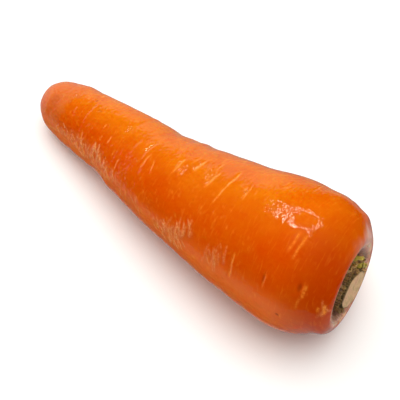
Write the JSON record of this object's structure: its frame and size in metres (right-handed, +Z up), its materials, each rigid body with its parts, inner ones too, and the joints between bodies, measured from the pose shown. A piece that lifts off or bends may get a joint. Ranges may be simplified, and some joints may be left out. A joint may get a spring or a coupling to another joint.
{
  "type": "carrot",
  "caption": "Stout blunt carrot lying on its side, leaves trimmed off, with a cut stem and torn leaf bases in the hollow of its crown.",
  "frame": {"origin": "on the surface that the carrot lies on, under the middle of its bounding box", "axes": "+X from the tip to the crown, +Z up, +Y to the side that the root bends away from"},
  "size_m": [0.1758, 0.0624, 0.0632],
  "materials": {
    "carrot_skin": null,
    "cut_stem": null,
    "leaf_stalk": null
  },
  "bodies": {
    "root": {"taproot": "carrot_skin", "stem_stub": "cut_stem", "leaf_stalk_stumps": "leaf_stalk"}
  },
  "joints": []
}
